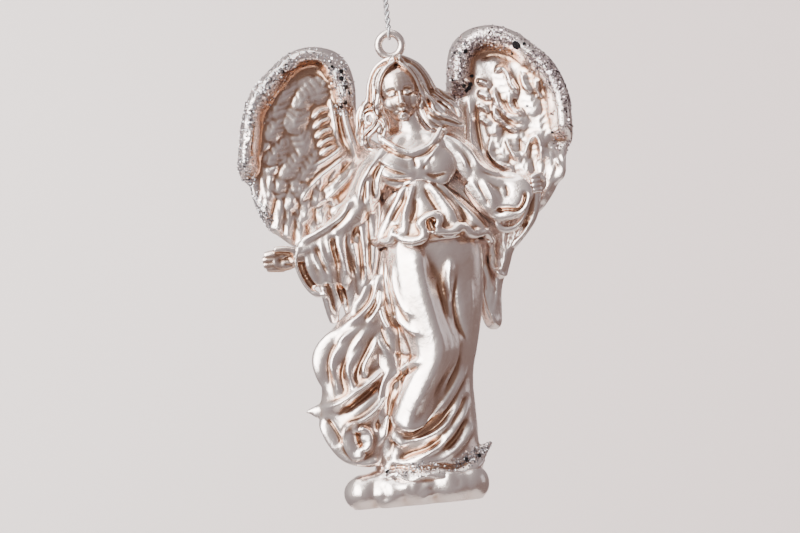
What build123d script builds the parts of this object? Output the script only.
"""Hanging resin angel figurine, hung from a twisted thread.

The angel stands on a cloud, with open wings glued to the back. Each casting is a piece of its
own, and the castings are cut so that they meet face to face. Millimetres, +Z up, and the angel
looks along -Y. The origin is the point of the hanging loop that a hook bears on. Right and left
are the angel's own, so the right wing is on the -X side. Heights are above the cloud's foot.
"""

import os

from build123d import *

# Thread
strand_d = 0.75
cord_length = 32.0
loop_height = 13.0
loop_width = 5.0
knot_d = 3.6
thread_gap = 0.04

# Hanging ring
ring_hole_d = 3.9
ring_wire_d = 1.95
ring_sink = 1.0
shank_length = 6.0

# Cloud base
base_height = 9.6
base_width = 36.0
base_depth = 24.0
base_x = -3.6
seat_depth = 3.4
lobe_count = 10
lobe_d = 9.5
lobe_sink = 1.0

# Robe, from the cloud to the waist
skirt_length = 62.0
skirt_depth = 17.0
hem_width = 29.0
knee_width = 21.5
hip_width = 25.0
waist_width = 18.5
waist_depth = 12.5
hem_x = -1.8
hem_top_x = -1.2
knee_x = 1.4
hip_x = 4.6
waist_x = 5.0

# Windblown drape on the right side
drape_width = 17.0
drape_depth = 14.0
drape_height = 42.0
drape_x = -17.0

# Overskirt
overskirt_length = 15.0
overskirt_width = 29.5
overskirt_depth = 21.5

# Upper body
bodice_length = 19.0
bust_width = 19.0
bust_depth = 15.5
shoulder_width = 21.0
neck_d = 5.8
neck_length = 7.5
neck_x = 3.0
body_x = 3.6
body_y = -2.6

# Head and hair
head_height = 15.5
head_width = 11.0
head_x = 2.0
hair_thickness = 1.7
face_width = 8.2
lock_width = 7.4
right_lock_length = 17.0
left_lock_length = 17.0
right_lock_rise = 2.0
left_lock_rise = 4.5
lock_sweep = 50

# Hands, as reach from the body and drop from the shoulder
right_hand_reach = 34.8
right_hand_drop = 23.3
left_hand_reach = 31.7
left_hand_drop = 10.7
right_hand_length = 11.0
hand_thickness = 4.8
fist_d = 7.4
palm_tilt = 74

# Sleeves, as sections of (reach from the body, drop from the shoulder, way out, way up, width)
sleeve_depth = 9.0
right_sleeve_sections = (
    (5.0, 3.5, 0.57, -0.82, 9.0),
    (13.0, 12.5, 0.65, -0.76, 11.5),
    (20.5, 22.5, 0.72, -0.69, 19.25),
    (29.85, 27.5, 0.8, -0.6, 17.5),
)
left_sleeve_sections = (
    (5.5, 3.5, 0.6, -0.8, 9.0),
    (13.5, 11.5, 0.85, -0.53, 13.0),
    (21.0, 15.5, 1.0, -0.1, 15.5),
    (28.0, 14.5, 1.0, 0.1, 9.3),
)

# Wings
right_wing_reach = 44.4
left_wing_reach = 40.1
wing_rise = 29.2
right_wing_drop = 29.5
left_wing_drop = 46.5
wing_thickness = 8.4
wing_floor = 3.0
wing_front_y = 0.4
rim_width = 4.2
right_pocket_width = 22.0
left_pocket_width = 21.2
pocket_height = 38.0

# Dowels that key the castings together
wing_pin_d = 1.6
wing_pin_length = 6.0
neck_pin_d = 1.8
neck_pin_length = 10.0
base_pin_d = 3.0
base_pin_length = 8.0
base_pin_depth = 3.5
base_pin_x = -1.6

# Glued trim
glitter_thickness = 0.5
glitter_width = 3.0
glitter_margin = 0.4
glitter_start = 2.0
hem_glitter_width = 2.6
hem_glitter_reach = 11.0
hem_glitter_rise = 0.5
hem_glitter_x = 2.07
flake_d = 1.3
flake_thickness = 0.3
right_flake_angles = (95, 112, 126, 139, 150)
left_flake_angles = (84, 108, 121, 133, 144)
hem_flake_shares = (0.07, 0.23, 0.41)

# Places along the hanging line, from the hook down
cord_d = 2 * strand_d
knot_z = -loop_height
knot_seat = 0.4 * knot_d
bight_radius = ring_wire_d / 2 + strand_d / 2 + thread_gap
ring_radius = (ring_hole_d + ring_wire_d) / 2
cord_bottom_z = knot_z - knot_seat - cord_length
ring_wire_z = cord_bottom_z - bight_radius
ring_z = ring_wire_z - ring_radius

# Heights above the foot
seat = base_height - seat_depth
waist = seat + skirt_length
shoulder = waist + bodice_length
chin = shoulder + neck_length
crown = chin + head_height
hair_top = crown + hair_thickness
foot_z = ring_z - (hair_top - ring_sink + ring_radius + ring_wire_d / 2)

# Depths of the wings
wing_back_y = wing_front_y + wing_thickness
pocket_y = wing_back_y - wing_floor


def level(height):
    """The horizontal plane at a height above the foot."""
    return Plane.XY.offset(foot_z + height)


def front_plane(y):
    """The upright plane at depth y, seen from the front, with heights above the foot."""
    return Plane(origin=(0, y, foot_z), x_dir=(1, 0, 0), z_dir=(0, -1, 0))


def upright_sections(places):
    """Ellipses given as (height, centre x, centre y, width, depth), to be lofted."""
    sections = []
    for height, x, y, width, depth in places:
        with BuildSketch(level(height)) as section:
            with Locations((x, y)):
                Ellipse(width / 2, depth / 2)
        sections.append(section.sketch)
    return sections


def arm_sections(side, places):
    """Ellipses down an arm on the given side (-1 is right), to be lofted."""
    sections = []
    for reach, drop, out, up, width in places:
        centre = (body_x + side * reach, body_y, foot_z + shoulder - drop)
        with BuildSketch(Plane(origin=centre, x_dir=(0, 1, 0), z_dir=(side * out, 0, up))) as section:
            Ellipse(sleeve_depth / 2, width / 2)
        sections.append(section.sketch)
    return sections


def egg(width, height, x, y, middle, tilt=0.0):
    """A round egg, its long axis tilted from upright, its middle at a height above the foot."""
    with BuildPart() as shape:
        with BuildSketch(Plane.XZ):
            Ellipse(width / 2, height / 2)
            split(bisect_by=Plane.YZ)
        revolve(axis=Axis.Z)
    return Pos(x, y, foot_z + middle) * Rot(0, tilt, 0) * shape.part


def cut_from(*pieces):
    """Takes other pieces out of the current part, so that it meets them face to face."""
    for piece in pieces:
        add(piece.part, mode=Mode.SUBTRACT)


def write(label, piece):
    """Names a finished piece and writes its STEP file."""
    piece.part.label = label
    export_step(piece.part, f"parts/{label}.step")


# Thread: loop, knot, twisted pair and the turn round the ring

with BuildPart() as hanging_loop:
    half_width = loop_width / 2
    leg_foot = knot_z + loop_width
    corners = ((strand_d, knot_z), (half_width, leg_foot), (half_width, strand_d / 2))
    mirrored = [(-x, z) for x, z in reversed(corners)]
    with BuildLine(Plane.XZ) as loop_line:
        FilletPolyline(*corners, *mirrored, radius=0.48 * loop_width)
    with BuildSketch(loop_line.line ^ 0):
        Circle(strand_d / 2)
    sweep(path=loop_line.line)

with BuildPart() as cord_knot:
    with Locations((0, 0, knot_z)):
        Sphere(knot_d / 2)
    with Locations((0, 0, knot_z - knot_seat + thread_gap)):
        below = (Align.CENTER, Align.CENTER, Align.MAX)
        Box(knot_d, knot_d, knot_d, align=below, mode=Mode.SUBTRACT)
    cut_from(hanging_loop)

with BuildPart() as cord_bight:
    with Locations(Location((0, 0, ring_wire_z), (0, 90, 0))):
        Torus(bight_radius, strand_d / 2)

with BuildPart() as bight_clearance:
    with Locations(Location((0, 0, ring_wire_z), (0, 90, 0))):
        Torus(bight_radius, strand_d / 2 + thread_gap)

with BuildPart() as hanging_cord:
    with BuildSketch(Plane.XY.offset(cord_bottom_z)):
        Circle(cord_d / 2)
    extrude(amount=cord_length)
    cut_from(bight_clearance)

# Hanging ring, with a shank that is set in the head

with BuildPart() as hanging_ring:
    with Locations(Location((0, 0, ring_z), (90, 0, 0))):
        Torus(ring_radius, ring_wire_d / 2)
    with BuildSketch(Plane.XY.offset(ring_z - ring_radius - shank_length)):
        Circle(ring_wire_d / 2)
    extrude(amount=shank_length)

# Dowels

with BuildPart() as neck_pin:
    with BuildSketch(level(chin - neck_pin_length / 2)):
        with Locations((neck_x, body_y)):
            Circle(neck_pin_d / 2)
    extrude(amount=neck_pin_length)

wing_pin_height = shoulder - bodice_length / 3
with BuildPart() as wing_pins:
    with BuildSketch(Plane.XZ.offset(-wing_back_y + wing_floor / 2)):
        with GridLocations(bust_width / 3, 1, 2, 1):
            with Locations((body_x, foot_z + wing_pin_height)):
                Circle(wing_pin_d / 2)
    extrude(amount=wing_pin_length)

with BuildPart() as base_pin:
    with BuildSketch(level(seat - base_pin_depth)):
        with Locations((base_pin_x, body_y)):
            Circle(base_pin_d / 2)
    extrude(amount=base_pin_length)

# Head, hair and hands

with BuildPart() as head:
    add(egg(head_width, head_height, head_x, body_y, chin + head_height / 2))
    cut_from(neck_pin, hanging_ring)

with BuildPart() as bodice:
    loft(upright_sections([
        (waist, waist_x, body_y, waist_width, waist_depth),
        (waist + 0.5 * bodice_length, body_x + 0.6, body_y, bust_width, bust_depth),
        (waist + 0.85 * bodice_length, body_x, body_y, shoulder_width, 0.75 * bust_depth),
        (shoulder, body_x, body_y, 0.6 * shoulder_width, 0.6 * bust_depth),
        (shoulder + 0.4 * neck_length, body_x - 0.3, body_y, neck_d, neck_d),
        (chin + hair_thickness, neck_x, body_y, neck_d, neck_d),
    ]), ruled=True)
    cut_from(head, neck_pin, wing_pins)

with BuildPart() as hair:
    cap_width = head_width + 2 * hair_thickness
    add(egg(cap_width, head_height + 2 * hair_thickness, head_x, body_y, chin + head_height / 2))
    with BuildSketch(level(chin - hair_thickness)):
        with Locations((head_x, body_y - head_width / 2 - hair_thickness)):
            Rectangle(face_width, head_width)
    extrude(amount=head_height - hair_thickness, mode=Mode.SUBTRACT)
    lock_reach = cap_width / 2 + 0.2 * lock_width
    add(egg(lock_width, right_lock_length, head_x - lock_reach, body_y, chin + right_lock_rise))
    left_lock_middle = chin + left_lock_rise
    add(egg(lock_width, left_lock_length, head_x + lock_reach, body_y, left_lock_middle, -lock_sweep))
    cut_from(head, bodice, hanging_ring, neck_pin)

right_hand_x = body_x - right_hand_reach
right_hand_height = shoulder - right_hand_drop
with BuildPart() as right_hand:
    add(egg(hand_thickness, right_hand_length, right_hand_x, body_y, right_hand_height, palm_tilt))

left_hand_x = body_x + left_hand_reach
left_hand_height = shoulder - left_hand_drop
with BuildPart() as left_hand:
    with Locations((left_hand_x, body_y, foot_z + left_hand_height)):
        Sphere(fist_d / 2)

# Sleeves

with BuildPart() as right_sleeve:
    loft(arm_sections(-1, right_sleeve_sections), ruled=True)
    cut_from(right_hand, bodice, wing_pins)

with BuildPart() as left_sleeve:
    loft(arm_sections(1, left_sleeve_sections), ruled=True)
    cut_from(left_hand, bodice, wing_pins)

# Robe, overskirt, drape and cloud

hem_foot = (seat, hem_x, body_y, hem_width, skirt_depth)
hem_top = (seat + 0.16 * skirt_length, hem_top_x, body_y, 0.9 * hem_width, skirt_depth)

with BuildPart() as robe_skirt:
    loft(upright_sections([
        hem_foot,
        hem_top,
        (seat + 0.42 * skirt_length, knee_x, body_y, knee_width, skirt_depth),
        (seat + 0.80 * skirt_length, hip_x, body_y, hip_width, skirt_depth),
        (waist, waist_x, body_y, waist_width, waist_depth),
    ]), ruled=True)
    cut_from(base_pin, right_sleeve, left_sleeve)

with BuildPart() as overskirt:
    loft(upright_sections([
        (waist - 0.4 * overskirt_length, waist_x + 0.5, body_y, overskirt_width, overskirt_depth),
        (waist, waist_x, body_y, 1.25 * waist_width, 1.4 * waist_depth),
        (waist + 0.6 * overskirt_length, body_x + 0.5, body_y, 1.05 * bust_width, 1.06 * bust_depth),
    ]), ruled=True)
    cut_from(bodice, robe_skirt, right_sleeve, left_sleeve)

with BuildPart() as windblown_drape:
    loft(upright_sections([
        (seat + 4.0, drape_x + 3.5, body_y, 0.55 * drape_width, 0.7 * drape_depth),
        (seat + 0.3 * drape_height, drape_x - 1.2, body_y, drape_width, drape_depth),
        (seat + 0.65 * drape_height, drape_x, body_y, drape_width, drape_depth),
        (seat + drape_height, drape_x + 6.5, body_y, 0.8 * drape_width, 0.8 * drape_depth),
    ]), ruled=True)
    cut_from(robe_skirt, right_sleeve)

with BuildPart() as cloud_base:
    loft(upright_sections([
        (0, base_x, body_y, 0.9 * base_width, 0.9 * base_depth),
        (0.3 * base_height, base_x, body_y, 0.97 * base_width, 0.97 * base_depth),
        (base_height, base_x, body_y, 0.8 * base_width, 0.8 * base_depth),
    ]), ruled=True)
    for number in range(lobe_count):
        spoke = Vector(base_width / 2 - lobe_d / 2, 0)
        ring_place = spoke.rotate(Axis.Z, 360 * number / lobe_count)
        depth_share = (base_depth - lobe_d) / (base_width - lobe_d)
        lobe_y = body_y + ring_place.Y * depth_share
        with Locations((base_x + ring_place.X, lobe_y, foot_z + lobe_d / 2 - lobe_sink)):
            Sphere(lobe_d / 2)
    with Locations((base_x, body_y, foot_z)):
        below = (Align.CENTER, Align.CENTER, Align.MAX)
        Box(2 * base_width, 2 * base_depth, base_height, align=below, mode=Mode.SUBTRACT)
    cut_from(robe_skirt, windblown_drape, base_pin)

# Wings


def wing_face(side, reach, drop, edge, y):
    """The wing's flat outline from (share of reach, share of rise or drop) points."""
    places = [
        (body_x + side * reach * across, shoulder + up * (wing_rise if up > 0 else drop))
        for across, up in edge
    ]
    with BuildSketch(front_plane(y)) as face:
        with BuildLine():
            Spline(places)
            Polyline(places[-1], (body_x, places[-1][1]), (body_x, shoulder), places[0])
        make_face()
    return face.sketch


def pocket_face(side, reach, width, y, grow=0.0):
    """The cup's oval outline, a rim's width inside the wing's tip and top."""
    centre_x = body_x + side * (reach - rim_width - width / 2)
    centre_height = shoulder + wing_rise - rim_width - pocket_height / 2
    with BuildSketch(front_plane(y)) as face:
        with Locations((centre_x, centre_height)):
            Ellipse(width / 2 + grow, pocket_height / 2 + grow)
    return face.sketch


right_edge = (
    (0.303, 0.03), (0.301, 0.50), (0.31, 0.72), (0.35, 0.87), (0.43, 0.97), (0.532, 1.0),
    (0.66, 0.95), (0.80, 0.80), (0.892, 0.64), (0.96, 0.37), (1.0, 0.02), (0.99, -0.14),
    (0.91, -0.37), (0.85, -0.56),
    (0.76, -0.70), (0.53, -0.90), (0.26, -1.0),
)
left_edge = (
    (0.25, 0.03), (0.252, 0.45), (0.256, 0.66), (0.314, 0.87), (0.479, 0.99), (0.636, 0.99),
    (0.783, 0.85), (0.923, 0.62), (0.995, 0.35), (0.99, -0.02), (0.913, -0.256), (0.815, -0.394),
    (0.628, -0.568), (0.50, -0.735), (0.441, -0.837), (0.426, -0.972), (0.39, -1.0),
    (0.344, -0.966), (0.26, -0.70), (0.16, -0.60),
)
clothing = (bodice, right_sleeve, left_sleeve, overskirt, robe_skirt, windblown_drape)
neighbours = (*clothing, hair, right_hand, left_hand)

with BuildPart() as right_wing:
    right_pocket = pocket_face(-1, right_wing_reach, right_pocket_width, pocket_y)
    extrude(wing_face(-1, right_wing_reach, right_wing_drop, right_edge, wing_back_y), wing_thickness)
    extrude(right_pocket, wing_thickness, mode=Mode.SUBTRACT)
    cut_from(*neighbours, wing_pins)

with BuildPart() as left_wing:
    left_pocket = pocket_face(1, left_wing_reach, left_pocket_width, pocket_y)
    extrude(wing_face(1, left_wing_reach, left_wing_drop, left_edge, wing_back_y), wing_thickness)
    extrude(left_pocket, wing_thickness, mode=Mode.SUBTRACT)
    cut_from(*neighbours, wing_pins)

# Glitter bands on the rims and the hem, and the dark flakes stuck on them


def wing_band(side, reach, width):
    """A band of glitter on the rim round the cup, above the shoulder."""
    outer = pocket_face(side, reach, width, wing_front_y, glitter_margin + glitter_width)
    inner = pocket_face(side, reach, width, wing_front_y, glitter_margin)
    with BuildPart() as band:
        extrude(outer, glitter_thickness)
        extrude(inner, glitter_thickness, mode=Mode.SUBTRACT)
        with Locations((0, wing_front_y, foot_z + shoulder + glitter_start)):
            above = (Align.CENTER, Align.CENTER, Align.MIN)
            Box(4 * reach, 4 * glitter_thickness, 4 * wing_rise, align=above, mode=Mode.INTERSECT)
    return band.part


def wing_flakes(side, reach, width, angles):
    """Six-sided flakes along the middle of a wing's glitter band, at angles from the tip side."""
    centre_x = body_x + side * (reach - rim_width - width / 2)
    centre_height = shoulder + wing_rise - rim_width - pocket_height / 2
    grow = glitter_margin + glitter_width / 2
    with BuildPart() as flakes:
        with BuildSketch(front_plane(wing_front_y - glitter_thickness)):
            for angle in angles:
                spoke = Vector(1, 0).rotate(Axis.Z, angle)
                x = centre_x + side * (width / 2 + grow) * spoke.X
                height = centre_height + (pocket_height / 2 + grow) * spoke.Y
                with Locations((x, height)):
                    RegularPolygon(flake_d / 2, 6)
        extrude(amount=flake_thickness)
    return flakes.part


with BuildPart() as right_wing_glitter:
    add(wing_band(-1, right_wing_reach, right_pocket_width))
    cut_from(*neighbours)

with BuildPart() as left_wing_glitter:
    add(wing_band(1, left_wing_reach, left_pocket_width))
    cut_from(*neighbours)

with BuildPart() as right_wing_flakes:
    add(wing_flakes(-1, right_wing_reach, right_pocket_width, right_flake_angles))

with BuildPart() as left_wing_flakes:
    add(wing_flakes(1, left_wing_reach, left_pocket_width, left_flake_angles))

glitter_growth = 2 * glitter_thickness
with BuildPart() as hem_glitter:
    loft(upright_sections([
        (*hem_foot[:3], hem_foot[3] + glitter_growth, hem_foot[4] + glitter_growth),
        (*hem_top[:3], hem_top[3] + glitter_growth, hem_top[4] + glitter_growth),
    ]), ruled=True)
    with Locations((hem_glitter_x, body_y, foot_z + base_height + hem_glitter_rise)):
        corner = (Align.MIN, Align.MAX, Align.MIN)
        Box(hem_glitter_reach, skirt_depth, hem_glitter_width, align=corner, mode=Mode.INTERSECT)
    cut_from(robe_skirt, cloud_base)

with BuildPart() as hem_flakes:
    with BuildSketch(front_plane(body_y - skirt_depth / 2)):
        for share in hem_flake_shares:
            flake_height = base_height + hem_glitter_rise + hem_glitter_width / 2
            with Locations((hem_glitter_x + hem_glitter_reach * share, flake_height)):
                RegularPolygon(flake_d / 2, 6)
    extrude(amount=glitter_thickness + flake_thickness)
    cut_from(robe_skirt, hem_glitter)

os.makedirs("parts", exist_ok=True)
for label, piece in {
    "hanging_loop": hanging_loop,
    "cord_knot": cord_knot,
    "hanging_cord": hanging_cord,
    "cord_bight": cord_bight,
    "hanging_ring": hanging_ring,
    "head": head,
    "hair": hair,
    "bodice": bodice,
    "right_sleeve": right_sleeve,
    "left_sleeve": left_sleeve,
    "right_hand": right_hand,
    "left_hand": left_hand,
    "overskirt": overskirt,
    "robe_skirt": robe_skirt,
    "windblown_drape": windblown_drape,
    "cloud_base": cloud_base,
    "right_wing": right_wing,
    "left_wing": left_wing,
    "right_wing_glitter": right_wing_glitter,
    "left_wing_glitter": left_wing_glitter,
    "hem_glitter": hem_glitter,
    "right_wing_flakes": right_wing_flakes,
    "left_wing_flakes": left_wing_flakes,
    "hem_flakes": hem_flakes,
    "neck_pin": neck_pin,
    "wing_pins": wing_pins,
    "base_pin": base_pin,
}.items():
    write(label, piece)
